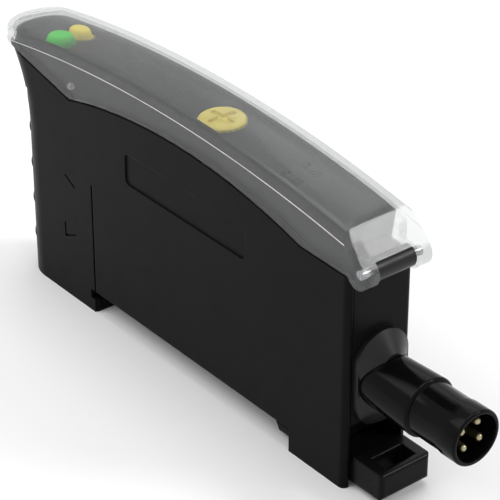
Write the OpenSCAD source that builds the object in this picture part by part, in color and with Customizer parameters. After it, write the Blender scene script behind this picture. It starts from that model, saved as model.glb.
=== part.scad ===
// Fibre optic sensor amplifier that clips on a 35 mm mounting rail
// X runs from the round front to the connector, Y across the slim body, Z up
// The origin is the middle of the rail seat

/* [Body] */
// Width of the body across the rail
body_w = 10; // [9.4:0.1:12]
// Rail centre to the rear face
rear_x = 33.5; // [33:0.1:37]
// Rail centre to the axis of the round front
nose_x = 28.7; // [28:0.1:31]
// Height of the feet below the rail seat
foot_drop = 3.1; // [2.9:0.1:4]
// Thickness of the rear wall and the floor
wall = 1.2; // [1:0.1:1.4]
// Thickness of the side lid and of the far side wall
side_wall = 0.9; // [0.8:0.05:1]
// Open seam between the side lid and the tub
seam = 0.12; // [0.05:0.01:0.2]
// Radius of the rear corners
corner_r = 0.8; // [0.4:0.1:1.2]
// Radius of the hollow under the front beak
beak_r = 15; // [13:0.5:18]
// Height at which the front starts to lean out
beak_z = 19.5; // [18:0.5:20]

/* [Rail] */
// Width of the mounting rail
rail_w = 35; // [34.5:0.1:35.5]
// Slot height left for the rail flange
flange_slot = 1.15; // [1.05:0.05:1.4]
// Rail centre to the tip of the hook lip
hook_x = 16.6; // [16.2:0.1:17]
// Rail centre to the front face of the rear foot
heel_x = 23.4; // [23:0.1:24.4]
// Half length of the rail seat
seat_half = 16.2; // [15:0.1:16.2]
// Height by which the rail seat stands proud
seat_step = 0.2; // [0.1:0.05:0.3]

/* [Clip] */
// Rail centre to the clip nose when the clip is pulled out
clip_tip = 19.6; // [19.4:0.1:20]
// Travel of the clip to its latched place
clip_travel = 3.1; // [2.8:0.1:3.1]
// Width of the clip
clip_w = 7.7; // [7.2:0.1:7.8]
// Length of the clip tab behind the rear face
tab_len = 5.5; // [5:0.1:7]
// Thickness of the clip tab
tab_h = 3.6; // [3:0.1:3.8]
// Edge rounding of the clip tab
tab_r = 0.55; // [0.3:0.05:0.7]
// Length of the slot in the clip tab
tab_slot_l = 2.6; // [2.2:0.1:2.7]
// Width of the slot in the clip tab
tab_slot_w = 4.7; // [4:0.1:5]
// Bar behind the slot in the clip tab
tab_bar = 0.95; // [0.9:0.05:1.2]

/* [Cover] */
// Height of the cover's side edge at its peak
cover_z = 33.25; // [33:0.05:34]
// Place of that peak behind the rail centre
bow_x = -1; // [-3:0.5:1]
// Radius of the bow along the cover
bow_r = 200; // [190:5:240]
// Reach of the cover's round end past the round front
overhang = 4.6; // [4:0.1:5]
// Depth of the cover's skirt at its peak
skirt_depth = 3.2; // [3:0.05:3.5]
// Radius of the skirt's lower edge
skirt_r = 87; // [85:1:95]
// Rail centre to the front corner of the skirt
skirt_front = 20.9; // [19:0.1:22]
// Rail centre to the rear kink of the skirt
skirt_rear = 25; // [23:0.1:26]
// Wall thickness of the cover
cover_wall = 0.85; // [0.7:0.05:0.9]
// Ledge between the skirt and the cap of the cover
ledge = 0.15; // [0.1:0.05:0.2]
// Height of the cap's upright side
cap_side = 0.85; // [0.8:0.05:1]
// Corner radius of the cap
cap_r = 1.2; // [1.1:0.05:1.4]
// Clearance between the cover and the body
cover_gap = 0.2; // [0.15:0.01:0.25]

/* [Hinge] */
// Hinge axis behind the rear face
hinge_back = 1.4; // [1.3:0.05:1.6]
// Depth of the hinge axis below the cover's side edge
hinge_drop = 2.65; // [2.5:0.05:2.75]
// Radius of the hinge lobes
lobe_r = 1.75; // [1.7:0.05:1.8]
// Angle at which the cover's rear slope meets the lobes
roll_angle = 42; // [40:1:46]
// Radius between the cover's top and its rear slope
roll_r = 3; // [2:0.1:4]
// Width between the hinge lobes
lobe_gap = 6.1; // [5.5:0.1:6.6]
// Radius of the barrel on the body
barrel_r = 1.4; // [1.2:0.05:1.45]
// Radius of the hinge pin
pin_r = 0.6; // [0.5:0.05:0.7]
// Radial running fit of the pin in the lobes
pin_fit = 0.04; // [0.02:0.01:0.06]

/* [Panel] */
// Height of the neck's rim above the cover's side edge
rim_h = 0.75; // [0.6:0.05:0.8]
// Depth of the tray in the neck
tray_depth = 1.5; // [1.4:0.05:1.6]
// Thickness of the top panel
panel_t = 0.6; // [0.5:0.05:0.7]
// Wall of the neck
neck_wall = 0.5; // [0.4:0.05:0.6]
// Radius of the light pipes
pipe_r = 0.8; // [0.7:0.05:0.85]
// Rail centre to the light pipes
pipe_x = 28.6; // [28.4:0.1:29.2]
// Rail centre to the slide switches
switch_x = 19.5; // [17:0.5:21]
// Travel of a slide switch
switch_travel = 1.2; // [1:0.1:1.4]

/* [Gain knob] */
// Rail centre to the knob axis
knob_x = 4.5; // [2:0.1:7]
// Depth of the knob's top below the cover's edge line
knob_sink = 0.7; // [0.5:0.05:0.9]
// Radius of the knob
knob_r = 3.1; // [2.6:0.05:3.1]
// Height of the knob
knob_h = 1.05; // [0.8:0.05:1.1]
// Number of scallops round the knob
scallops = 16; // [12:1:20]
// Radius of the knob's stem
stem_r = 1.1; // [0.9:0.05:1.2]

/* [Fibre gate] */
// Thickness of the gate at its middle
gate_t = 2.8; // [2.6:0.05:2.8]
// Height of the gate
gate_h = 23.5; // [23:0.1:24]
// Travel of the gate
gate_travel = 2; // [1.8:0.1:2]
// Clearance round the gate
gate_gap = 0.15; // [0.1:0.01:0.18]
// Middle of the body to the gate's guide ribs
rib_y = 2.9; // [2.8:0.05:2.95]
// Depth of a guide rib
rib_depth = 1.3; // [1.2:0.05:1.4]
// Half width of a guide rib's head
rib_half = 0.6; // [0.5:0.05:0.65]
// Pitch of the grip ridges
ridge_pitch = 5.4; // [5:0.1:5.6]
// Height of the grip ridges
ridge_h = 0.35; // [0.2:0.05:0.45]
// Radius of a fibre port
fibre_r = 1.1; // [1:0.05:1.2]
// Height of the lower fibre port
fibre_z = 10.4; // [9.5:0.1:11]
// Spacing of the fibre ports
fibre_pitch = 5.4; // [5:0.1:5.6]

/* [Connector] */
// Height of the connector axis
plug_z = 11.5; // [11.2:0.1:12]
// Length of the connector behind the rear face
plug_len = 16.7; // [15:0.1:18]
// Radius of the connector where it passes the wall
plug_neck_r = 3.2; // [3.1:0.05:3.25]
// Radius of the connector at its root
plug_root_r = 3.6; // [3.4:0.05:3.7]
// Radius of the connector's collar
collar_r = 3.85; // [3.75:0.05:4]
// Rear face to the collar's shoulder
collar_x = 9.1; // [8:0.1:10]
// Radius of the snap groove
groove_r = 3.46; // [3.4:0.02:3.5]
// Radius of the flared end
flare_r = 3.6; // [3.55:0.01:3.7]
// Radius of the socket in the end
socket_r = 3.05; // [2.9:0.05:3.1]
// Depth of the socket
socket_depth = 4.6; // [4:0.1:5]
// Radius of a contact pin
contact_r = 0.5; // [0.4:0.05:0.5]
// Proud height of the oval boss
boss_h = 0.9; // [0.6:0.05:1.2]
// Half width of the oval boss
boss_half_w = 3.9; // [3.8:0.05:4]
// Half height of the oval boss
boss_half_h = 6.5; // [6:0.1:6.8]
// Reach of the fairing on the boss
fairing = 1.8; // [1.4:0.1:2.2]
// Radius at the end of the fairing
fairing_r = 1.5; // [1.3:0.1:1.7]

/* [Circuit] */
// Thickness of the circuit board
board_t = 1; // [0.8:0.1:1]
// Radius of the bosses that carry the board
post_r = 1.5; // [1.4:0.05:1.6]
// Radius of the lid's pegs
peg_r = 0.7; // [0.6:0.05:0.75]

/* [Hidden] */
$fn = 48;
bow_fn = 360;
eps = 0.01;
far = 60;

half_w = body_w / 2;
front_x = -nose_x - half_w;
cover_nose = nose_x + overhang;
lid_y = -half_w + side_wall;
tub_y = lid_y + seam;
far_y = half_w - side_wall;

// Height of the cover's side edge at x, and the angle of that place on its bow
function edge_z(x) = cover_z - bow_r + sqrt(bow_r * bow_r - pow(x - bow_x, 2));
function bow_angle(x) = acos((x - bow_x) / bow_r);
// Height of the edge plane in front of the round end's axis
function nose_edge_z(x) = edge_z(-cover_nose) + (x + cover_nose) * tan(bow_angle(-cover_nose) - 90);
// Points of an arc in the plane of the drawing
function arc(cx, cy, r, from, to, n) = [for (i = [0:n]) let (a = from + (to - from) * i / n)
    [cx + r * cos(a), cy + r * sin(a)]];
// Front line of the body at height z
function front_line(z) = z < beak_z ? front_x : front_x - beak_r + sqrt(beak_r * beak_r - pow(z - beak_z, 2));

hinge_x = rear_x + hinge_back;
hinge_z = edge_z(hinge_x) - hinge_drop;
lobe_clear = cover_gap;
barrel_gap = 0.15;
arm_half = lobe_gap / 2 - cover_gap;
arm_top = barrel_r;

skirt_x = (skirt_rear - skirt_front) / 2 - 0.5;
skirt_top = cover_z - skirt_depth;
skirt_tip = cover_nose + 1.2;
nose_drop = 0.4;
skirt_end_z = hinge_z - 0.96;
function skirt_z(x) = skirt_top - skirt_r + sqrt(skirt_r * skirt_r - pow(x - skirt_x, 2));

inner_half = half_w - ledge - cover_wall;
neck_half = inner_half - cover_gap;
neck_nose = cover_nose - 0.4;
neck_rear = rear_x - 2.1;
cover_rear = hinge_x + lobe_r + 1;
tray_half = neck_half - neck_wall;
tray_top = rim_h - tray_depth;
panel_top = tray_top + panel_t;
panel_gap = 0.06;
panel_lift = 0.03;
neck_top_wall = 0.8;
neck_cavity = tray_top - neck_top_wall;
crown_angle = 75;
skirt_room = 14;
pin_cap = 0.5;
pin_end = 0.1;
bump_in = 0.3;
bump_rise = 1.4;
bump_sink = 0.25;
bump_r = 0.5;
cap_lift = (half_w - ledge - cap_r) / cos(crown_angle);
cap_top = cap_side + cap_r + cap_lift * (1 - sin(crown_angle));

// Rear slope of the cover: a straight run from the lobes, and a round that leads it into the top
slope = [cos(roll_angle), sin(roll_angle)];
slope_inset = 0.05;
slope_reach = slope * [hinge_x, hinge_z] + lobe_r - slope_inset;
bow_middle = [bow_x, cover_z - bow_r];
roll_reach = bow_r + cap_top - roll_r;
roll_turn = roll_angle + acos((slope_reach - roll_r - slope * bow_middle) / roll_reach);
roll_centre = bow_middle + roll_reach * [cos(roll_turn), sin(roll_turn)];
function roll_curve(gap) = arc(roll_centre[0], roll_centre[1], roll_r - gap, roll_angle, roll_turn, 10);
// Height of that slope at x, set in by gap
function slope_z(x, gap) = (slope_reach - gap - slope[0] * x) / slope[1];

cavity_front = -nose_x + 0.7;
cavity_rear = rear_x - wall;
cavity_top = skirt_z(skirt_rear) - wall - 0.5;
seal_t = 0.8;
plug_gap = 0.03;
flange_r = plug_neck_r + 0.75;
flange_t = 1.1;
seal_x = cavity_rear - seal_t;
neck_cavity_half = neck_half - 0.8;
neck_cavity_front = front_x + gate_t + 0.6;
neck_cavity_z = 21.5;

slot_w = 0.32;
slot_depth = 0.3;
slot_top = 16.4;
upper_slot = [-22.6, 15.3];
lower_slot = [-23.1, 5.8];
recess_low = [-9, 20];
recess_high = [15, 24.4];
recess_r = 0.8;
recess_depth = 0.2;

clip_half = clip_w / 2;
clip_gap = 0.2;
clip_low = flange_slot + 1.05;
clip_top = 0.7;
clip_bar = clip_tip + 4;
channel_top = clip_top + 0.3;
channel_x = clip_bar - clip_travel - 0.3;
pocket_x = rear_x - clip_travel - 0.5;
pocket_top = 5.7;
rail_ledge = 0.6;
ledge_end = 1.5;
lid_root = 0.1;
rail_ledge_z = clip_low + 0.15;

gate_low = 0.4;
gate_top = gate_low + gate_h;
gate_straight = gate_top - 1.2;
gate_floor = front_x + gate_t;
rib_low = gate_low + 1.2;
rib_high = gate_low + 17;
rib_head = 0.55;
rib_stem_half = 0.35;
rib_gap = 0.1;
ridge_fade = 0.1;
ridge_r = 0.9;
ridge_low = gate_low + 1.9;
ridge_count = 4;

board_half = board_t / 2;
board_front = -nose_x + 7.8;
board_rear = seal_x - flange_t - 0.3;
board_low = wall + 2.4;
board_top = 26.6;
tongue_x = neck_cavity_front + 0.3;
tongue_z = neck_cavity_z + 1.1;
post_places = [[-14, 22], [24, 22]];
post_fit = 0.12;
peg_fit = 0.04;

controller_place = [4, 14];
controller_size = [7, 7, 1];
amplifier_place = [-10, 13];
amplifier_size = [5, 4, 1.4];
capacitor_places = [[15, 10], [15, 15], [-4, 18]];
capacitor_size = [3.2, 1.6, 1.2];

fibre_heights = [fibre_z, fibre_z + fibre_pitch];
port_play = 0.6;
gate_play = 0.4;
block_half = half_w - side_wall - 0.7;
block_rear = cavity_front + 4;
lens_r = 0.8;
lens_t = 1;
block_above = 3.6;
eye_half_w = 2.2;
eye_half_h = 2.3;
pot_half = neck_cavity_half - 0.2;
well_gap = 0.18;
knob_low = edge_z(knob_x) - knob_sink - knob_h;
pot_top = knob_low - 0.25;
stem_gap = 0.25;
green_y = -0.6;
yellow_y = neck_cavity_half - pipe_r - 0.2;
led_t = 0.7;
led_z = board_top - 1.6;
switch_ys = [-neck_cavity_half / 2, neck_cavity_half / 2];
switch_body_half = neck_cavity_half / 2 - 0.2;
switch_body_l = 4.8;
switch_stem = 1.2;
switch_half = 0.55;
switch_len = 1.6;
hole_gap = 0.1;

plug_end = rear_x + plug_len;
boss_end = rear_x + boss_h;
contact_ring = 1.75;
contact_turn = acos((board_half + contact_r) / contact_ring);
contact_end = 1.2;
contact_tail = 2;
insert_r = plug_neck_r - 0.7;
shoulder_r = collar_r - groove_r;
tip_r = 0.3;
flare_start = 3.4;
flare_full = 2.7;
insert_front = rear_x + 2;
socket_x = plug_end - socket_depth;

// A drawing in X and Z carried across the width from y0 to y1
module across(y0, y1) translate([0, y1, 0]) rotate([90, 0, 0]) linear_extrude(y1 - y0) children();
// A box between two corners
module block(a, b) translate(a) cube(b - a);
// A round bar along X
module bar_x(x0, x1, r) translate([x0, 0, 0]) rotate([0, 90, 0]) cylinder(r = r, h = x1 - x0);
// A round bar along Y
module bar_y(y0, y1, r) translate([0, y1, 0]) rotate([90, 0, 0]) cylinder(r = r, h = y1 - y0);
// A flat rectangle between two corners, with round corners
module round_rect(low, high, r) {
    for (x = [low[0] + r, high[0] - r], y = [low[1] + r, high[1] - r]) translate([x, y]) circle(r);
    translate([low[0], low[1] + r]) square([high[0] - low[0], high[1] - low[1] - 2 * r]);
    translate([low[0] + r, low[1]]) square([high[0] - low[0] - 2 * r, high[1] - low[1]]);
}
// A half section, mirrored and swept along the bow from x0 to x1
module bow_centre() translate([bow_x, 0, cover_z - bow_r]) children();
module bow_run(half, x0, x1) {
    turn = bow_angle(x0) - bow_angle(x1);
    bow_centre() rotate([90, 0, 0]) rotate([0, 0, bow_angle(x1)]) rotate_extrude(angle = turn, $fn = bow_fn)
        polygon(concat([for (p = half) [bow_r + p[1], p[0]]],
            [for (i = [len(half) - 1:-1:0]) [bow_r + half[i][1], -half[i][0]]]));
}
// The same with a round end at x0, turned a little past the half round and a hair smaller to join well
module bow_sweep(half, x0, x1) {
    bow_run(half, x0, x1);
    lap = 4;
    bow_centre() rotate([0, 90 - bow_angle(x0), 0]) rotate([0, 0, 90 - lap])
        rotate_extrude(angle = 180 + 2 * lap, $fn = 64)
            polygon(concat([for (p = half) [p[0] - eps, bow_r + p[1] - eps]],
                [[0, bow_r + half[len(half) - 1][1] - eps], [0, bow_r + half[0][1] - eps]]));
}
// Half sections: a plain box, and a cap with upright sides, round corners and a crown
function box_half(h, low, high) = [[h, low], [h, high]];
function cap_half(h, r, low) = let (lift = (h - r) / cos(crown_angle))
    concat([[h, low]], arc(h - r, cap_side, r, 0, crown_angle, 6),
        [for (i = [1:7]) let (a = crown_angle + (90 - crown_angle) * i / 8)
            [(lift + r) * cos(a), cap_side - lift * sin(crown_angle) + (lift + r) * sin(a)]]);

// Lower edge of the cover in X and Z, lowered by gap, from the rear to the front
function shoulder(gap) = concat([[rear_x + 8, skirt_end_z - gap], [skirt_rear, skirt_z(skirt_rear) - gap]],
    [for (i = [1:23]) let (x = skirt_rear - (skirt_rear + skirt_front) * i / 24) [x, skirt_z(x) - gap]],
    [[-skirt_front, skirt_z(-skirt_front) - gap], [-skirt_tip, nose_edge_z(-skirt_tip) - nose_drop - gap],
        [-far, nose_edge_z(-far) - nose_drop - gap]]);
module below_shoulder(gap) across(-far, far)
    polygon(concat(shoulder(gap), [[-far, -far], [rear_x + 8, -far]]));
module above_shoulder(gap) across(-far, far) polygon(concat(shoulder(gap), [[-far, far], [rear_x + 8, far]]));

// Round front of the body, upright at the foot and leaning out under the cover
module round_front() {
    translate([-nose_x, 0, -foot_drop]) cylinder(r = half_w, h = foot_drop + beak_z);
    translate([front_x - beak_r, 0, beak_z]) rotate([90, 0, 0]) rotate_extrude(angle = 48, $fn = bow_fn)
        intersection() {
            union() {
                translate([beak_r + half_w, 0]) circle(half_w);
                translate([beak_r + half_w, -half_w]) square([half_w + 4, body_w]);
            }
            translate([beak_r - eps, -half_w]) square([2 * half_w + 4, body_w]);
        }
}
// Outline of the main block seen from the side, with the rail channel between the feet
module side_outline() polygon([[-nose_x, -foot_drop], [-hook_x, -foot_drop], [-hook_x, -flange_slot],
    [-rail_w / 2 - 0.1, -flange_slot], [-rail_w / 2 - 0.1, seat_step], [heel_x, seat_step],
    [heel_x, -foot_drop], [rear_x, -foot_drop], [rear_x, far], [-nose_x, far]]);
// Outer form of the body below the cover
module body_outer() intersection() {
    below_shoulder(cover_gap);
    union() {
        round_front();
        intersection() {
            across(-far, far) side_outline();
            union() {
                block([-nose_x, -half_w, -far], [rear_x - corner_r, half_w, far]);
                block([rear_x - corner_r - eps, -half_w + corner_r, -far], [rear_x, half_w - corner_r, far]);
                for (y = [-1, 1]) translate([rear_x - corner_r, y * (half_w - corner_r), -far])
                    cylinder(r = corner_r, h = 2 * far);
            }
        }
    }
}
// Room for the hinge lobes and for the cover's flange as it swings
module lobe_room() translate([hinge_x, 0, hinge_z]) {
    bar_y(-far, -arm_half, lobe_r + lobe_clear);
    bar_y(arm_half, far, lobe_r + lobe_clear);
}
// Room of the gate, which slides up behind the lip of the beak, and of its guide ribs
module gate_channel() {
    block([-far, -far, gate_low - gate_gap], [gate_floor, far, gate_top + gate_gap]);
    intersection() {
        block([-far, -far, gate_top], [gate_floor, far, gate_top + gate_travel + gate_gap]);
        gate_upright(gate_gap, gate_travel + 1);
    }
    guide_ribs(rib_gap, gate_travel);
}
// Upright round that bounds the top of the gate, grown by gap and lengthened upwards by travel
module gate_upright(gap, travel) translate([front_line(gate_straight) + half_w, 0, gate_straight])
    translate([0, 0, -eps]) cylinder(r = half_w + gap, h = gate_top - gate_straight + travel + eps);
// Two guide ribs with broader heads, grown by gap and lengthened upwards by travel
module guide_ribs(gap, travel) for (y = [-rib_y, rib_y]) {
    low = rib_low - gap;
    high = rib_high + travel + gap;
    back = gate_floor + rib_depth + gap;
    neck_back = back - rib_head - 2 * gap;
    block([gate_floor - gate_gap - eps, y - rib_stem_half - gap, low], [back, y + rib_stem_half + gap, high]);
    block([neck_back, y - rib_half - gap, low], [back, y + rib_half + gap, high]);
}
// Neck that carries the panel under the cover
module neck() difference() {
    intersection() {
        bow_sweep(box_half(neck_half, -12, rim_h), -neck_nose, neck_rear);
        above_shoulder(cover_gap + 0.3);
    }
    tray();
}
// Tray in the neck that takes the panel
module tray() bow_sweep(box_half(tray_half, tray_top, 5), -neck_nose, neck_rear - neck_wall);
// Arm and barrel of the hinge
module hinge_arm() difference() {
    union() {
        translate([hinge_x, 0, hinge_z]) bar_y(-arm_half, arm_half, barrel_r);
        block([neck_rear - 1, -arm_half, skirt_end_z - 1.5], [rear_x, arm_half, hinge_z + barrel_r / 2]);
        block([rear_x - eps, -arm_half, hinge_z - barrel_r / 2], [hinge_x, arm_half, hinge_z + barrel_r / 2]);
    }
    translate([hinge_x, 0, hinge_z]) bar_y(-half_w, half_w, pin_r);
}
// Hollow of the tub, open towards the side lid
module cavity() {
    across(tub_y - 1, far_y) polygon([[cavity_front, wall], [channel_x - wall, wall],
        [channel_x - wall, channel_top + wall], [pocket_x - wall, channel_top + wall],
        [pocket_x - wall, pocket_top + wall], [cavity_rear, pocket_top + wall],
        [cavity_rear, cavity_top], [cavity_front, cavity_top]]);
    intersection() {
        bow_run(box_half(neck_cavity_half, -20, neck_cavity), neck_cavity_front - 2, neck_rear - wall);
        block([neck_cavity_front, -neck_cavity_half, neck_cavity_z], [far, neck_cavity_half, far]);
    }
}
// Channel and pocket for the rail clip
module clip_room() {
    block([channel_x, tub_y - 1, -far], [far, far_y - 0.05, channel_top]);
    block([pocket_x, tub_y - 1, -far], [far, far_y - 0.05, pocket_top]);
}
// Holes that the panel and the neck share
module panel_holes(gap) {
    translate([knob_x, 0, board_top]) cylinder(r = stem_r + stem_gap, h = far);
    translate([knob_x, 0, knob_low - well_gap]) cylinder(r = knob_r + well_gap, h = far);
    for (y = [green_y, yellow_y]) translate([-pipe_x, y, board_top]) cylinder(r = pipe_r + gap, h = far);
    slot_half = (switch_len + switch_travel) / 2 + gap;
    for (y = switch_ys) block([switch_x - slot_half, y - switch_half - gap, board_top],
        [switch_x + slot_half, y + switch_half + gap, far]);
}
// Oval boss with a sloping fairing above and below the connector
module rear_boss() translate([rear_x, 0, plug_z]) difference() {
    reach = boss_half_h - boss_half_w;
    union() {
        for (s = [-1, 1]) translate([0, 0, s * reach]) {
            bar_x(-eps, boss_h, boss_half_w);
            translate([boss_h - eps, 0, 0]) rotate([0, 90, 0])
                cylinder(r1 = boss_half_w - eps, r2 = fairing_r, h = fairing);
        }
        block([-eps, -boss_half_w, -reach], [boss_h, boss_half_w, reach]);
    }
    bar_x(boss_h, far, plug_root_r + plug_gap);
}

module housing_tub() color([0.1, 0.1, 0.11]) difference() {
    union() {
        intersection() {
            body_outer();
            block([-far, tub_y, -far], [far, far, far]);
        }
        neck();
        hinge_arm();
        rear_boss();
        block([-seat_half, tub_y, 0], [seat_half, far_y, wall]);
    }
    cavity_with_posts();
    clip_room_with_ledge();
    lobe_room();
    gate_channel();
    tray();
    panel_holes(hole_gap);
    for (z = fibre_heights) translate([0, 0, z]) bar_x(gate_floor - 1, cavity_front + 1, fibre_r + port_play);
    translate([0, 0, plug_z]) bar_x(cavity_rear - 1, boss_end + 3, plug_neck_r + plug_gap);
}
module cavity_with_posts() difference() {
    cavity();
    for (p = post_places) translate([p[0], 0, p[1]]) difference() {
        bar_y(-board_half - 1.5, far_y + 1, post_r);
        bar_y(-half_w, far_y, peg_r + peg_fit);
    }
}
module clip_room_with_ledge() difference() {
    clip_room();
    inner = clip_half - rail_ledge + clip_gap;
    block([heel_x, inner, -foot_drop], [rear_x - ledge_end, half_w, -rail_ledge_z]);
}

module side_lid() color([0.11, 0.11, 0.12]) {
    difference() {
        intersection() {
            body_outer();
            block([-far, -far, -far], [far, lid_y, far]);
        }
        lobe_room();
        gate_channel();
        across(-far, -half_w + slot_depth) {
            translate([-hook_x - slot_w / 2, -far]) square([slot_w, far + slot_top]);
            translate(upper_slot) rotate(-30) square([2.4, slot_w]);
            translate(lower_slot) square([slot_w, 2.3]);
            translate(lower_slot) rotate(24) square([2.9, slot_w]);
        }
        across(-far, -half_w + recess_depth) round_rect(recess_low, recess_high, recess_r);
    }
    for (p = post_places) translate([p[0], 0, p[1]]) bar_y(lid_y - lid_root, board_half, peg_r);
    block([heel_x, lid_y - lid_root, -foot_drop],
        [rear_x - ledge_end, -clip_half + rail_ledge - clip_gap, -rail_ledge_z]);
}
// Everything in front of the cover's rear slope, which is set in by gap and ends below in the points of foot
module before_slope(gap, foot) {
    curve = roll_curve(gap);
    end = curve[len(curve) - 1];
    low = [foot[0][0], -far];
    across(-far, far) polygon(concat([[-far, -far], low], foot, curve, [[end[0], far], [-far, far]]));
}
module clear_cover() color([0.75, 0.78, 0.8, 0.5]) {
    lobe_front = hinge_x - lobe_r;
    lobe_rear = hinge_x + lobe_r;
    hinge = [hinge_x, hinge_z];
    difference() {
        union() {
            intersection() {
                union() {
                    bow_sweep(cap_half(half_w - ledge, cap_r, -eps), -cover_nose, cover_rear);
                    intersection() {
                        bow_sweep(box_half(half_w, -skirt_room, 0), -cover_nose, cover_rear);
                        above_shoulder(0);
                    }
                }
                before_slope(0, [hinge, hinge + slope * (lobe_r - slope_inset)]);
            }
            translate([hinge_x, 0, hinge_z]) bar_y(-half_w + eps, half_w - eps, lobe_r);
        }
        intersection() {
            bow_sweep(cap_half(inner_half, cap_r - cover_wall, -skirt_room), -cover_nose, cover_rear);
            before_slope(cover_wall, [[lobe_front, slope_z(lobe_front, cover_wall)]]);
        }
        intersection() {
            bow_run(cap_half(arm_half, cap_r - cover_wall, -skirt_room), neck_rear, cover_rear);
            before_slope(cover_wall, [[lobe_rear, slope_z(lobe_rear, cover_wall)]]);
        }
        translate([hinge_x, 0, hinge_z]) {
            bar_y(-lobe_gap / 2, lobe_gap / 2, barrel_r + barrel_gap);
            bar_y(-half_w + pin_cap, half_w - pin_cap, pin_r + pin_fit);
            block([-far, -lobe_gap / 2, -far], [far, lobe_gap / 2, arm_top + cover_gap]);
        }
    }
    bump_z = skirt_z(-skirt_front) + bump_rise;
    for (y = [-1, 1]) translate([-skirt_front + bump_in, y * (half_w - bump_sink), bump_z]) sphere(bump_r);
}

module hinge_pin() color([0.75, 0.75, 0.77]) translate([hinge_x, 0, hinge_z])
    bar_y(-half_w + pin_cap + pin_end, half_w - pin_cap - pin_end, pin_r);

module top_panel() color([0.13, 0.13, 0.14]) difference() {
    bow_sweep(box_half(tray_half - panel_gap, tray_top + panel_lift, panel_top), -neck_nose,
        neck_rear - neck_wall - panel_gap);
    panel_holes(hole_gap);
}

module gain_knob() color([0.9, 0.82, 0.4]) translate([knob_x, 0, knob_low]) difference() {
    union() {
        cylinder(r = knob_r, h = knob_h);
        translate([0, 0, pot_top - knob_low - 0.4]) cylinder(r = stem_r, h = knob_low - pot_top + 0.5);
    }
    for (i = [0:scallops - 1]) rotate(i * 360 / scallops) translate([knob_r + 0.2, 0, -eps])
        cylinder(r = 0.42, h = knob_h + 1, $fn = 24);
    for (a = [0, 90]) rotate(a) block([-2, -0.4, knob_h - 0.6], [2, 0.4, knob_h + 1]);
}

module gain_potentiometer() color([0.2, 0.3, 0.55]) difference() {
    translate([knob_x, 0, 0]) block([-pot_half, -pot_half, board_top], [pot_half, pot_half, pot_top]);
    translate([knob_x, 0, pot_top - 0.6]) cylinder(r = stem_r + 0.06, h = 1);
}

module light_pipe(y, side) {
    top = edge_z(-pipe_x) + rim_h;
    cap = 0.4;
    foot_z = board_top + 0.2;
    face = side * (board_half + led_t);
    outer = y + side * pipe_r;
    translate([-pipe_x, y, foot_z]) cylinder(r = pipe_r, h = top - foot_z - cap);
    translate([-pipe_x, y, top - cap]) intersection() {
        translate([0, 0, cap - 1.2]) sphere(1.2);
        cylinder(r = pipe_r, h = 1);
    }
    block([-pipe_x - pipe_r, min(face, outer), led_z], [-pipe_x + pipe_r, max(face, outer), foot_z + 0.6]);
}
module green_light_pipe() color([0.3, 0.8, 0.25]) light_pipe(green_y, -1);
module yellow_light_pipe() color([0.9, 0.85, 0.3]) light_pipe(yellow_y, 1);
module status_leds() color([0.9, 0.9, 0.85]) for (s = [-1, 1])
    translate([-pipe_x, s * (board_half + led_t / 2), led_z + 0.6]) cube([1.4, led_t, 1.1], center = true);

module slide_switch(y) {
    z = edge_z(switch_x) + panel_top;
    grip_pitch = 0.5;
    grip_half = 0.15;
    grip_h = 0.15;
    block([switch_x - switch_len / 2, y - switch_half, z - panel_t - switch_stem],
        [switch_x + switch_len / 2, y + switch_half, z - 0.1]);
    for (i = [-1:1]) translate([switch_x + i * grip_pitch, 0, 0])
        block([-grip_half, y - switch_half, z - 0.2], [grip_half, y + switch_half, z + grip_h]);
}
module mode_switch() color([0.05, 0.05, 0.05]) slide_switch(switch_ys[0]);
module delay_switch() color([0.05, 0.05, 0.05]) slide_switch(switch_ys[1]);
module switch_bodies() color([0.6, 0.6, 0.62]) for (y = switch_ys) {
    z = edge_z(switch_x) + panel_top - panel_t - switch_stem - 0.05;
    block([switch_x - switch_body_l / 2, y - switch_body_half, board_top],
        [switch_x + switch_body_l / 2, y + switch_body_half, z]);
}

module circuit_board() color([0.1, 0.4, 0.2]) difference() {
    across(-board_half, board_half) polygon([[board_front, board_low], [pocket_x - wall - 0.6, board_low],
        [pocket_x - wall - 0.6, pocket_top + wall + 0.6], [board_rear, pocket_top + wall + 0.6],
        [board_rear, cavity_top - 0.9], [neck_rear - wall - 3.4, board_top], [tongue_x, board_top],
        [tongue_x, tongue_z], [board_front, tongue_z]]);
    for (p = post_places) translate([p[0], 0, p[1]]) bar_y(-half_w, half_w, post_r + post_fit);
}

module fibre_block() color([0.16, 0.16, 0.17]) difference() {
    block([cavity_front, -block_half, wall], [block_rear, block_half, fibre_heights[1] + block_above]);
    for (z = fibre_heights) translate([0, 0, z]) {
        bar_x(cavity_front - 1, block_rear - lens_t, fibre_r);
        bar_x(cavity_front, block_rear + 1, lens_r);
    }
}
module eye(z) translate([0, 0, z]) {
    block([block_rear, -eye_half_w, -eye_half_h], [board_front, eye_half_w, eye_half_h]);
    bar_x(block_rear - lens_t, block_rear + eps, lens_r);
}
module emitter() color([0.8, 0.3, 0.25]) eye(fibre_heights[0]);
module photodiode() color([0.2, 0.2, 0.35]) eye(fibre_heights[1]);

// A chip on the near or far face of the board, by its place in X and Z and its length, height and thickness
module chip(place, size, side) translate([place[0], side * (board_half + size[2] / 2), place[1]])
    cube([size[0], size[2], size[1]], center = true);
module microcontroller() color([0.08, 0.08, 0.08]) chip(controller_place, controller_size, -1);
module signal_amplifier() color([0.1, 0.1, 0.1]) chip(amplifier_place, amplifier_size, -1);
module filter_capacitors() color([0.55, 0.5, 0.4])
    for (place = capacitor_places) chip(place, capacitor_size, 1);

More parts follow.
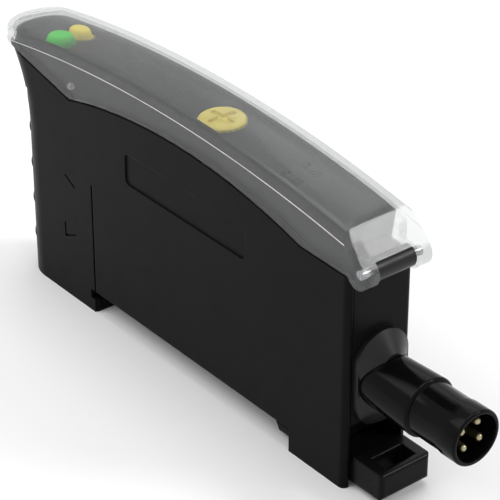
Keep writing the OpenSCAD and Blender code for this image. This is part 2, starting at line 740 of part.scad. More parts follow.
// Ridge ring of the gate at height z, a little tighter than the round front so that it fades out at the sides
module ridge(z) {
    ring = half_w - ridge_fade;
    translate([front_line(z) - ridge_h + ring, 0, z]) rotate_extrude() translate([ring - ridge_r, 0])
        circle(ridge_r, $fn = 32);
}
module fibre_gate() color([0.1, 0.1, 0.11]) difference() {
    union() {
        intersection() {
            union() {
                round_front();
                for (i = [0:ridge_count - 1]) ridge(ridge_low + i * ridge_pitch);
            }
            block([-far, -far, gate_low], [gate_floor - gate_gap, far, gate_straight]);
        }
        intersection() {
            round_front();
            gate_upright(0, 0);
            block([-far, -far, gate_straight - eps], [gate_floor - gate_gap, far, gate_top]);
        }
        guide_ribs(0, 0);
    }
    slot_r = fibre_r + gate_play;
    for (z = fibre_heights) for (s = [0, gate_travel]) translate([0, 0, z - s]) bar_x(-far, 0, slot_r);
    for (z = fibre_heights) block([-far, -slot_r, z - gate_travel], [0, slot_r, z]);
}

module rail_clip() color([0.09, 0.09, 0.1]) {
    tab_x = rear_x - 0.1;
    tab_end = rear_x + tab_len;
    low = -clip_low;
    difference() {
        union() {
            block([clip_bar, -clip_half, low], [rear_x + 1, clip_half, clip_top]);
            across(-clip_half, clip_half) polygon([[clip_bar + eps, low], [clip_bar + eps, -flange_slot],
                [clip_tip, -flange_slot], [clip_tip + 0.6, low]]);
        }
        for (s = [-1, 1]) block([clip_bar + 1.5, s * (clip_half - 1.1) - 0.3, -far],
            [rear_x - 2, s * (clip_half - 1.1) + 0.3, far]);
    }
    difference() {
        intersection() {
            across(-half_w, half_w) round_rect([tab_x, low], [tab_end, low + tab_h], tab_r);
            translate([0, 0, -far]) linear_extrude(2 * far)
                round_rect([tab_x, -clip_half], [tab_end, clip_half], tab_r);
        }
        slot_end = tab_end - tab_bar;
        block([slot_end - tab_slot_l, -tab_slot_w / 2, -far], [slot_end, tab_slot_w / 2, far]);
    }
}

module connector_body() color([0.08, 0.08, 0.085]) translate([0, 0, plug_z]) rotate([0, 90, 0])
    rotate_extrude($fn = 64) polygon(concat(
        [[insert_r, seal_x - flange_t], [flange_r, seal_x - flange_t], [flange_r, seal_x],
        [plug_neck_r, seal_x], [plug_neck_r, boss_end], [plug_root_r, boss_end],
        [plug_root_r, boss_end + fairing]],
        arc(groove_r, rear_x + collar_x - shoulder_r, shoulder_r, 0, 90, 6),
        [[groove_r, plug_end - flare_start], [flare_r, plug_end - flare_full]],
        arc(flare_r - tip_r, plug_end - tip_r, tip_r, 0, 90, 5),
        [[socket_r, plug_end], [socket_r, socket_x], [insert_r, socket_x]]));
module connector_insert() color([0.12, 0.12, 0.12]) translate([0, 0, plug_z]) difference() {
    bar_x(insert_front, socket_x, insert_r);
    contact_places() bar_x(0, far, contact_r);
}
// The four places of the contacts on their ring
module contact_places() for (i = [0:3]) rotate([contact_turn + 90 * i, 0, 0])
    translate([0, contact_ring, 0]) children();
module contact_pins() color([0.8, 0.65, 0.3]) translate([0, 0, plug_z]) contact_places() {
    bar_x(board_rear - contact_tail, plug_end - contact_end, contact_r);
    translate([plug_end - contact_end, 0, 0]) sphere(contact_r);
}
module connector_seal() color([0.05, 0.05, 0.05]) translate([0, 0, plug_z]) difference() {
    bar_x(seal_x, cavity_rear, flange_r - 0.1);
    bar_x(0, far, plug_neck_r + plug_gap);
}

housing_tub();
side_lid();
clear_cover();
hinge_pin();
top_panel();
gain_knob();
gain_potentiometer();
green_light_pipe();
yellow_light_pipe();
mode_switch();
delay_switch();
switch_bodies();
circuit_board();
status_leds();
fibre_block();
emitter();
photodiode();
microcontroller();
signal_amplifier();
filter_capacitors();
fibre_gate();
rail_clip();
connector_body();
connector_insert();
contact_pins();
connector_seal();
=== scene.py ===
"""Blender scene of a slim fibre optic sensor amplifier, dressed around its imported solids.

Lengths in the classes below are millimetres in the frame of the solids: the origin is the middle of the
rail seat, X runs from the round front to the connector, Y across the slim body and Z up. MM turns them into
metres.
"""

from __future__ import annotations

import logging
import math
from dataclasses import dataclass
from enum import Enum

import bmesh
import bpy
import numpy as np
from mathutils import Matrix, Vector

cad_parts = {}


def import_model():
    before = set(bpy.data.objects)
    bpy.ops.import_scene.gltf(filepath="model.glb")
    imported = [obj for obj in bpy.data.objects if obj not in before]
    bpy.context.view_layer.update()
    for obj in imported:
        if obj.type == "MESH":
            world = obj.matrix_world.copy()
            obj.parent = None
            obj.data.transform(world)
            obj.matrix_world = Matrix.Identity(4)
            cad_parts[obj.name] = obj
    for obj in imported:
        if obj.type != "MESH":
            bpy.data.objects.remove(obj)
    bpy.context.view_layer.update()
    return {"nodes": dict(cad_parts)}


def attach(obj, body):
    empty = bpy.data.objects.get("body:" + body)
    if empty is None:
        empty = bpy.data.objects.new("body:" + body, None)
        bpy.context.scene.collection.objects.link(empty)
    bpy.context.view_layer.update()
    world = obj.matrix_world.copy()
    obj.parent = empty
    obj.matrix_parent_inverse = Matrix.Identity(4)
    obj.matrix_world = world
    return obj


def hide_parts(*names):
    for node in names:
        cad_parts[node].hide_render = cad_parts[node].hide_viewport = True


LOG = logging.getLogger("amplifier")
MM = 0.001
OPAQUE = (1.0,)
WHITE = (1.0, 1.0, 1.0, 1.0)
NOISE_SPAN = (0.3, 0.7)
BEVEL_SAMPLES = 8
MERGE_MM = 0.0005
SMOOTH_ANGLE = 35.0
FAR = 80.0
Colour = tuple[float, float, float]
Point = tuple[float, float, float]
Span = tuple[float, float]
Path = tuple[np.ndarray, np.ndarray, np.ndarray]
Faces = list[list[int]]
Node = bpy.types.Node
Socket = bpy.types.NodeSocket
Material = bpy.types.Material
Shape = bpy.types.Object


class Body(Enum):
    """Names of the rigid bodies that pieces ride on."""

    HOUSING = "housing"
    COVER = "cover"
    KNOB = "knob"


class Cut(Enum):
    """Ways in which one closed shape is combined with another."""

    JOIN = "UNION"
    REMOVE = "DIFFERENCE"
    KEEP = "INTERSECT"


class NodeGraph:
    """A material's node tree, filled from empty."""

    def __init__(self, name: str) -> None:
        """Start a material of that name with an output node only.

        Args:
            name: the material's name.
        """
        self.material = bpy.data.materials.new(name)
        self.material.use_nodes = True
        self.tree = self.material.node_tree
        self.tree.nodes.clear()
        self.output = self.tree.nodes.new("ShaderNodeOutputMaterial")

    def add(self, kind: str, **values: object) -> Node:
        """Add a node and set its sockets.

        Args:
            kind: the node's type name.
            values: socket names, with blanks written as underscores, and their values.

        Returns:
            The new node.
        """
        node = self.tree.nodes.new(kind)
        for key, value in values.items():
            node.inputs[key.replace("_", " ")].default_value = value
        return node

    def link(self, source: Socket, target: Socket) -> None:
        """Join an output socket to an input socket."""
        self.tree.links.new(source, target)

    def place(self) -> Socket:
        """Add the Object coordinates and return their socket."""
        return self.add("ShaderNodeTexCoord").outputs["Object"]

    def noise(self, size_mm: float, detail: float = 2.0, stretch: Point = (1.0, 1.0, 1.0)) -> Socket:
        """Add noise on Object coordinates.

        Args:
            size_mm: the width of its spots.
            detail: the number of finer layers.
            stretch: how much finer the spots are along each axis.

        Returns:
            The noise's value socket.
        """
        mapping = self.add("ShaderNodeMapping", Scale=stretch)
        texture = self.add("ShaderNodeTexNoise", Scale=1.0 / (size_mm * MM), Detail=detail)
        self.link(self.place(), mapping.inputs["Vector"])
        self.link(mapping.outputs["Vector"], texture.inputs["Vector"])
        return texture.outputs["Fac"]

    def remap(self, value: Socket, source: Span, target: Span, smooth: bool = False) -> Socket:
        """Map one range of a value onto another, and hold it beyond both ends.

        Args:
            value: the value's socket.
            source: the range that is mapped.
            target: the range that it is mapped onto.
            smooth: whether the change eases in and out.

        Returns:
            The mapped socket.
        """
        ends = {"From_Min": source[0], "From_Max": source[1], "To_Min": target[0], "To_Max": target[1]}
        node = self.add("ShaderNodeMapRange", **ends)
        node.interpolation_type = "SMOOTHSTEP" if smooth else "LINEAR"
        self.link(value, node.inputs["Value"])
        return node.outputs["Result"]

    def along_x(self, step_mm: Span, values: Span) -> Socket:
        """Step from one value to another along the body.

        Args:
            step_mm: where along X the step begins and ends.
            values: the values in front of the step and behind it.

        Returns:
            The value's socket.
        """
        parts = self.add("ShaderNodeSeparateXYZ")
        self.link(self.place(), parts.inputs["Vector"])
        return self.remap(parts.outputs["X"], (step_mm[0] * MM, step_mm[1] * MM), values)

    def tones(self, value: Socket, colour: Colour, swing: float) -> Socket:
        """Vary a colour's lightness with a noise value.

        Args:
            value: the noise's socket.
            colour: the middle colour.
            swing: the share by which it gets darker and lighter.

        Returns:
            The colour socket.
        """
        ramp = self.add("ShaderNodeValToRGB")
        gains = (1.0 - swing, 1.0 + swing)
        for stop, place, gain in zip(ramp.color_ramp.elements, NOISE_SPAN, gains):
            stop.position = place
            stop.color = tuple(min(1.0, part * gain) for part in colour) + OPAQUE
        self.link(value, ramp.inputs["Fac"])
        return ramp.outputs["Color"]

    def vary_roughness(self, shader: Node, noise: Socket, middle: float, swing: float) -> None:
        """Let a shader's roughness drift with noise, by swing to both sides of its middle value."""
        drift = self.remap(noise, NOISE_SPAN, (middle - swing, middle + swing))
        self.link(drift, shader.inputs["Roughness"])

    def relief(self, shader: Node, height: Socket, strength: float, depth_mm: float) -> Node:
        """Give a shader fine relief.

        Args:
            shader: the shader.
            height: the relief's height socket.
            strength: how much of it is seen.
            depth_mm: its full depth.

        Returns:
            The bump node.
        """
        bump = self.add("ShaderNodeBump", Strength=strength, Distance=depth_mm * MM)
        self.link(height, bump.inputs["Height"])
        self.link(bump.outputs["Normal"], shader.inputs["Normal"])
        return bump

    def soft_edges(self, bump: Node, radius_mm: float) -> None:
        """Round the shading of hard edges.

        Args:
            bump: the bump node that lies over it.
            radius_mm: the radius of the rounding.
        """
        bevel = self.add("ShaderNodeBevel", Radius=radius_mm * MM)
        bevel.samples = BEVEL_SAMPLES
        self.link(bevel.outputs["Normal"], bump.inputs["Normal"])

    def finish(self, shader: Node) -> Material:
        """Link a shader to the output and return the material."""
        self.link(shader.outputs[0], self.output.inputs["Surface"])
        return self.material


@dataclass(frozen=True)
class MouldedPlastic:
    """Moulded plastic with a fine grain, faint tone changes, soft edges and perhaps a glossier rear."""

    name: str
    colour: Colour
    roughness: float = 0.45
    specular: float = 0.2
    edge_mm: float = 0.14
    rear_specular: float | None = None
    rear_step_mm: Span = (33.6, 33.7)
    grain_mm: float = 0.12
    grain_depth_mm: float = 0.004
    grain_strength: float = 0.6
    tone_mm: float = 9.0
    tone_detail: float = 3.0
    tone_swing: float = 0.12
    rough_mm: float = 2.5
    rough_swing: float = 0.05

    def material(self) -> Material:
        """Build the node material.

        Returns:
            The material, with grain in its bump, and tone and roughness that drift over some millimetres.
        """
        graph = NodeGraph(self.name)
        shader = graph.add("ShaderNodeBsdfPrincipled", Specular_IOR_Level=self.specular)
        if self.rear_specular is not None:
            sheen = graph.along_x(self.rear_step_mm, (self.specular, self.rear_specular))
            graph.link(sheen, shader.inputs["Specular IOR Level"])
        drift = graph.noise(self.tone_mm, self.tone_detail)
        graph.link(graph.tones(drift, self.colour, self.tone_swing), shader.inputs["Base Color"])
        graph.vary_roughness(shader, graph.noise(self.rough_mm), self.roughness, self.rough_swing)
        bump = graph.relief(shader, graph.noise(self.grain_mm), self.grain_strength, self.grain_depth_mm)
        graph.soft_edges(bump, self.edge_mm)
        return graph.finish(shader)


@dataclass(frozen=True)
class ClearPlastic:
    """Polished clear plastic with a faint smoky tint and slight moulding ripples."""

    name: str
    tint: Colour
    index: float = 1.04
    polish_index: float = 1.49
    polish: float = 0.52
    polish_roughness: float = 0.2
    haze: float = 0.055
    roughness: float = 0.03
    rough_mm: float = 3.0
    rough_share: float = 0.4
    ripple_mm: float = 6.0
    ripple_detail: float = 1.0
    ripple_depth_mm: float = 0.003
    ripple_strength: float = 0.25

    def material(self) -> Material:
        """Build the node material.

        Returns:
            A transmitting material whose polish and flatness drift a little.
        """
        graph = NodeGraph(self.name)
        shader = graph.add(
            "ShaderNodeBsdfPrincipled",
            IOR=self.index,
            Base_Color=self.tint + OPAQUE,
            Transmission_Weight=1.0 - self.haze,
            Coat_Weight=self.polish,
            Coat_Roughness=self.polish_roughness,
            Coat_IOR=self.polish_index,
        )
        swing = self.roughness * self.rough_share
        graph.vary_roughness(shader, graph.noise(self.rough_mm), self.roughness, swing)
        ripples = graph.noise(self.ripple_mm, self.ripple_detail)
        graph.relief(shader, ripples, self.ripple_strength, self.ripple_depth_mm)
        return graph.finish(shader)


@dataclass(frozen=True)
class LampSpot:
    """Soft oval of light that a lamp throws on what surrounds it."""

    centre: Point
    reach: Point
    colour: Colour
    glow: float
    core: float = 0.5

    def light(self, graph: NodeGraph) -> Socket:
        """Add the oval to a material.

        Args:
            graph: the material's nodes.

        Returns:
            A colour that is full in the oval's core and fades smoothly to nothing at its rim.
        """
        mapping = graph.add("ShaderNodeMapping")
        mapping.vector_type = "TEXTURE"
        mapping.inputs["Location"].default_value = tuple(part * MM for part in self.centre)
        mapping.inputs["Scale"].default_value = tuple(part * MM for part in self.reach)
        graph.link(graph.place(), mapping.inputs["Vector"])
        length = graph.add("ShaderNodeVectorMath")
        length.operation = "LENGTH"
        graph.link(mapping.outputs["Vector"], length.inputs[0])
        fade = graph.remap(length.outputs["Value"], (self.core, 1.0), (self.glow, 0.0), smooth=True)
        tinted = graph.add("ShaderNodeVectorMath")
        tinted.operation = "SCALE"
        tinted.inputs[0].default_value = self.colour
        graph.link(fade, tinted.inputs["Scale"])
        return tinted.outputs["Vector"]


@dataclass(frozen=True)
class LampLitPlastic:
    """Dark plastic around two lamps, lit by both."""

    name: str
    colour: Colour
    first: LampSpot
    second: LampSpot
    roughness: float = 0.45
    specular: float = 0.1
    tone_mm: float = 9.0
    tone_swing: float = 0.1
    rough_mm: float = 2.5
    rough_swing: float = 0.05

    def material(self) -> Material:
        """Build the node material.

        Returns:
            A matte material whose emission is the sum of the two spots.
        """
        graph = NodeGraph(self.name)
        shader = graph.add("ShaderNodeBsdfPrincipled", Specular_IOR_Level=self.specular)
        shader.inputs["Emission Strength"].default_value = 1.0
        tone = graph.tones(graph.noise(self.tone_mm), self.colour, self.tone_swing)
        graph.link(tone, shader.inputs["Base Color"])
        graph.vary_roughness(shader, graph.noise(self.rough_mm), self.roughness, self.rough_swing)
        both = graph.add("ShaderNodeVectorMath")
        both.operation = "ADD"
        graph.link(self.first.light(graph), both.inputs[0])
        graph.link(self.second.light(graph), both.inputs[1])
        graph.link(both.outputs["Vector"], shader.inputs["Emission Color"])
        return graph.finish(shader)


@dataclass(frozen=True)
class PlatedMetal:
    """Plated metal with fine turning marks."""

    name: str
    colour: Colour
    roughness: float = 0.28
    rough_swing: float = 0.08
    tone_mm: float = 1.5
    tone_swing: float = 0.1
    mark_mm: float = 0.08
    mark_stretch: Point = (1.0, 0.08, 0.08)
    mark_depth_mm: float = 0.003
    mark_strength: float = 0.3

    def material(self) -> Material:
        """Build the node material.

        Returns:
            A metal whose fine marks run round the X axis.
        """
        graph = NodeGraph(self.name)
        shader = graph.add("ShaderNodeBsdfPrincipled", Metallic=1.0)
        tone = graph.tones(graph.noise(self.tone_mm), self.colour, self.tone_swing)
        graph.link(tone, shader.inputs["Base Color"])
        marks = graph.noise(self.mark_mm, stretch=self.mark_stretch)
        graph.vary_roughness(shader, marks, self.roughness, self.rough_swing)
        graph.relief(shader, marks, self.mark_strength, self.mark_depth_mm)
        return graph.finish(shader)


@dataclass(frozen=True)
class CoatedBoard:
    """Green coated laminate with the faint weave of its glass cloth."""

    name: str
    colour: Colour
    roughness: float = 0.35
    weave_mm: float = 0.5
    weave_shade: float = 0.88

    def material(self) -> Material:
        """Build the node material.

        Returns:
            A satin material with a fine check of two tones.
        """
        graph = NodeGraph(self.name)
        shader = graph.add("ShaderNodeBsdfPrincipled", Roughness=self.roughness)
        weave = graph.add("ShaderNodeTexChecker", Scale=1.0 / (self.weave_mm * MM))
        shade = tuple(part * self.weave_shade for part in self.colour)
        weave.inputs["Color1"].default_value = shade + OPAQUE
        weave.inputs["Color2"].default_value = self.colour + OPAQUE
        graph.link(graph.place(), weave.inputs["Vector"])
        graph.link(weave.outputs["Color"], shader.inputs["Base Color"])
        return graph.finish(shader)


BLACK_BODY = MouldedPlastic(
    "black_body_plastic", (0.005, 0.005, 0.0053), roughness=0.36, specular=0.05, rear_specular=0.26
)
BLACK_CLIP = MouldedPlastic(
    "black_clip_plastic", (0.004, 0.004, 0.0043), roughness=0.25, specular=0.08, edge_mm=0.4
)
BLACK_CONNECTOR = MouldedPlastic(
    "black_connector_plastic", (0.0025, 0.0025, 0.0027), roughness=0.14, specular=0.07
)
GREEN_SPOT = LampSpot(centre=(-27.9, -1.1, 32.1), reach=(2.9, 2.1, 9.0), colour=(0.0, 0.5, 0.0), glow=1.4)
YELLOW_SPOT = LampSpot(centre=(-27.7, 2.0, 32.1), reach=(2.7, 1.7, 9.0), colour=(0.72, 0.58, 0.0), glow=1.3)
LIT_PANEL = LampLitPlastic("lamp_lit_panel_plastic", (0.008, 0.008, 0.009), GREEN_SPOT, YELLOW_SPOT)
DARK_PANEL = MouldedPlastic("dark_panel_plastic", (0.008, 0.008, 0.009), roughness=0.5, specular=0.15)
YELLOW_KNOB = MouldedPlastic(
    "yellow_knob_plastic", (0.86, 0.7, 0.08), roughness=0.3, specular=0.5, edge_mm=0.1
)
DARK_SLIDER = MouldedPlastic("dark_slider_plastic", (0.02, 0.02, 0.02), roughness=0.4, edge_mm=0.06)
CHIP_RESIN = MouldedPlastic("chip_resin", (0.02, 0.02, 0.021), roughness=0.6, edge_mm=0.05)
CERAMIC = MouldedPlastic("fired_ceramic", (0.42, 0.33, 0.21), roughness=0.5, edge_mm=0.05)
BLUE_CASE = MouldedPlastic("blue_case_plastic", (0.05, 0.11, 0.35), roughness=0.4, edge_mm=0.1)
RED_LENS = MouldedPlastic("red_lens_resin", (0.5, 0.06, 0.05), roughness=0.2, specular=0.5, edge_mm=0.1)
DARK_LENS = MouldedPlastic("dark_lens_resin", (0.03, 0.03, 0.06), roughness=0.2, specular=0.5, edge_mm=0.1)
PALE_CHIP = MouldedPlastic("pale_chip_resin", (0.8, 0.8, 0.72), roughness=0.4, edge_mm=0.05)
SEAL_RUBBER = MouldedPlastic("seal_rubber", (0.012, 0.012, 0.012), roughness=0.7, edge_mm=0.08)
# Pale strip along the cover's ledge: a painted highlight of the edge, not frosting.
LEDGE_HIGHLIGHT_PAINT = MouldedPlastic(
    "frosted_edge_plastic", (0.6, 0.61, 0.61), roughness=0.5, specular=0.5, edge_mm=0.02
)
CLEAR_COVER = ClearPlastic("clear_cover_plastic", (0.68, 0.69, 0.69))
CLEAR_BEAD = ClearPlastic(
    "clear_bead_plastic", (0.9, 0.9, 0.9), index=1.3, polish=1.0, polish_roughness=0.05, haze=0.1
)
GOLD_PIN = PlatedMetal("gold_plated_pin", (0.36, 0.33, 0.2), roughness=0.34)
GROUND_STEEL = PlatedMetal("ground_steel", (0.6, 0.6, 0.61))
GREEN_BOARD = CoatedBoard("green_board_coat", (0.02, 0.17, 0.06))

NODE_FINISHES = {
    "housing_tub": BLACK_BODY,
    "side_lid": BLACK_BODY,
    "fibre_gate": BLACK_BODY,
    "rail_clip": BLACK_CLIP,
    "top_panel": LIT_PANEL,
    "fibre_block": DARK_PANEL,
    "connector_insert": DARK_PANEL,
    "gain_potentiometer": BLUE_CASE,
    "mode_switch": DARK_SLIDER,
    "delay_switch": DARK_SLIDER,
    "switch_bodies": GROUND_STEEL,
    "hinge_pin": GROUND_STEEL,
    "circuit_board": GREEN_BOARD,
    "status_leds": PALE_CHIP,
    "emitter": RED_LENS,
    "photodiode": DARK_LENS,
    "microcontroller": CHIP_RESIN,
    "signal_amplifier": CHIP_RESIN,
    "filter_capacitors": CERAMIC,
    "connector_seal": SEAL_RUBBER,
}
PIECE_FINISHES = (CLEAR_COVER, CLEAR_BEAD, LEDGE_HIGHLIGHT_PAINT, YELLOW_KNOB, BLACK_CONNECTOR, GOLD_PIN)


def arc(centre: Span, radius: float, start: float, stop: float, count: int) -> np.ndarray:
    """Points of a circle's arc in a drawing plane.

    Args:
        centre: the circle's centre.
        radius: its radius.
        start: the first angle in degrees.
        stop: the last angle in degrees.
        count: the number of points.

    Returns:
        An array of count rows and two columns.
    """
    turn = np.radians(np.linspace(start, stop, count))
    return np.stack([centre[0] + radius * np.cos(turn), centre[1] + radius * np.sin(turn)], axis=1)


def full_turn(count: int) -> np.ndarray:
    """Angles in radians of count points that stand evenly round a circle."""
    return np.linspace(0.0, 2.0 * math.pi, count, endpoint=False)


def carry(path: Path, widths: np.ndarray, heights: np.ndarray) -> np.ndarray:
    """Carry a section along a path.

    A point is the path's point, plus its height times the upward direction, plus its width times the
    outward direction.

    Args:
        path: points of the path, and the upward and the outward direction there.
        widths: the section's distances from the path.
        heights: the section's heights over the path, which may differ from place to place.

    Returns:
        Rows of X, Y and Z, section by section.
    """
    spot, up, out = path
    points = spot[:, None, :] + up[:, None, :] * heights[..., None] + out[:, None, :] * widths[..., None]
    return points.reshape(-1, 3)


def grid_faces(rows: int, columns: int, close_rows: bool, close_columns: bool) -> Faces:
    """Quads of a grid of points numbered row by row.

    Args:
        rows: the number of rows.
        columns: the number of columns.
        close_rows: whether the last row joins the first.
        close_columns: whether the last column joins the first.

    Returns:
        Four point numbers per face.
    """
    row = np.arange(rows if close_rows else rows - 1)
    column = np.arange(columns if close_columns else columns - 1)
    here, left = np.meshgrid(row, column, indexing="ij")
    here_start = here * columns
    next_start = (here + 1) % rows * columns
    right = (left + 1) % columns
    corners = [here_start + left, here_start + right, next_start + right, next_start + left]
    return np.stack(corners, axis=-1).reshape(-1, 4).tolist()


def link_shape(name: str, mesh: bpy.types.Mesh) -> Shape:
    """Make an object of a mesh and link it to the scene.

    Args:
        name: the object's name.
        mesh: its mesh.

    Returns:
        The object, at the origin.
    """
    obj = bpy.data.objects.new(name, mesh)
    bpy.context.scene.collection.objects.link(obj)
    return obj


def new_piece(name: str, points_mm: np.ndarray, faces: Faces, angle: float = SMOOTH_ANGLE) -> Shape:
    """Make an object from points and faces, with doubles merged and faces turned outwards.

    Args:
        name: the object's name.
        points_mm: rows of X, Y and Z in millimetres.
        faces: lists of point numbers.
        angle: edges sharper than this many degrees stay hard.

    Returns:
        The linked object, at the origin.
    """
    mesh = bpy.data.meshes.new(name)
    mesh.from_pydata((points_mm * MM).tolist(), [], faces)
    clean(mesh)
    soften(mesh, angle)
    return link_shape(name, mesh)


def clean(mesh: bpy.types.Mesh) -> None:
    """Merge doubles, drop faces without area and turn all faces outwards.

    Args:
        mesh: the mesh that is changed.
    """
    shape = bmesh.new()
    shape.from_mesh(mesh)
    bmesh.ops.remove_doubles(shape, verts=shape.verts, dist=MERGE_MM * MM)
    bmesh.ops.dissolve_degenerate(shape, edges=shape.edges, dist=MERGE_MM * MM)
    bmesh.ops.recalc_face_normals(shape, faces=shape.faces)
    shape.to_mesh(mesh)
    shape.free()


def soften(mesh: bpy.types.Mesh, angle: float) -> None:
    """Shade faces smoothly, except over edges sharper than angle degrees."""
    mesh.shade_smooth()
    mesh.set_sharp_from_angle(angle=math.radians(angle))


def combine(base: Shape, other: Shape, way: Cut) -> None:
    """Combine one closed shape with another and drop the other.

    Args:
        base: the shape that is changed.
        other: the shape that is joined or removed.
        way: how they are combined.
    """
    step = base.modifiers.new(way.name.lower(), "BOOLEAN")
    step.operation = way.value
    step.solver = "MANIFOLD"
    step.object = other
    bpy.context.view_layer.update()
    result = bpy.data.meshes.new_from_object(base.evaluated_get(bpy.context.evaluated_depsgraph_get()))
    base.modifiers.remove(step)
    old = base.data
    base.data = result
    bpy.data.meshes.remove(old)
    bpy.data.objects.remove(other)


def join_pieces(name: str, parts: list[Shape]) -> Shape:
    """Put several separate shapes into one object.

    Args:
        name: the new object's name.
        parts: the shapes, which are removed.

    Returns:
        The joined object.
    """
    mesh = bpy.data.meshes.new(name)
    shape = bmesh.new()
    for part in parts:
        shape.from_mesh(part.data)
        bpy.data.objects.remove(part)
    shape.to_mesh(mesh)
    shape.free()
    soften(mesh, SMOOTH_ANGLE)
    return link_shape(name, mesh)


def lathe(name: str, profile: np.ndarray, centre: Point, axis: int, count: int) -> Shape:
    """Turn a profile about an axis: each profile point goes round a circle of its own radius.

    Args:
        name: the object's name.
        profile: rows of place along the axis and radius; a closed outline or one that ends on the axis.
        centre: a point on the axis, with 0 for its place along the axis.
        axis: 0 for X, 1 for Y, 2 for Z.
        count: the number of points round the circle.

    Returns:
        The linked object.
    """
    turn = full_turn(count)
    parts = [profile[:, 1:] * np.cos(turn), profile[:, 1:] * np.sin(turn)]
    parts.insert(axis, np.repeat(profile[:, :1], count, axis=1))
    points = np.stack(parts, axis=-1).reshape(-1, 3) + np.array(centre)
    closed = bool(np.all(profile[:, 1] > 0.0))
    return new_piece(name, points, grid_faces(len(profile), count, closed, True))


def block(name: str, low: Point, high: Point) -> Shape:
    """Make a box, used only to cut other shapes.

    Args:
        name: the object's name.
        low: its corner with the smallest coordinates.
        high: its corner with the largest coordinates.

    Returns:
        The closed solid.
    """
    corners = np.array(np.meshgrid(*zip(low, high), indexing="ij")).reshape(3, -1).T
    faces = [[0, 1, 3, 2], [4, 6, 7, 5], [0, 4, 5, 1], [2, 3, 7, 6], [0, 2, 6, 4], [1, 5, 7, 3]]
    return new_piece(name, corners, faces)


def prism(name: str, outline: np.ndarray, half: float) -> Shape:
    """Carry an outline in X and Z across the width, used only to cut other shapes.

    Args:
        name: the object's name.
        outline: rows of X and Z, once round.
        half: half of the width.

    Returns:
        The closed solid.
    """
    count = len(outline)
    near = np.column_stack([outline[:, 0], np.full(count, -half), outline[:, 1]])
    points = np.concatenate([near, near * np.array([1.0, -1.0, 1.0])])
    ends = [list(range(count)), list(range(count, 2 * count))]
    return new_piece(name, points, grid_faces(2, count, False, True) + ends)


def dress(obj: Shape, material: Material) -> None:
    """Give an object one material."""
    obj.data.materials.clear()
    obj.data.materials.append(material)


def settle(obj: Shape, material: Material, body: Body, slot: str, *nodes: str) -> None:
    """Dress a finished piece and let it ride on a body in place of nodes.

    Args:
        obj: the piece.
        material: its finish.
        body: the body that carries it.
        slot: not used.
        nodes: the nodes that it stands for.
    """
    dress(obj, material)
    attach(obj, body.value)
    if nodes:
        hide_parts(*nodes)
    LOG.info("%s rides on %s and stands for %s", obj.name, body.value, ", ".join(nodes) or "no node")


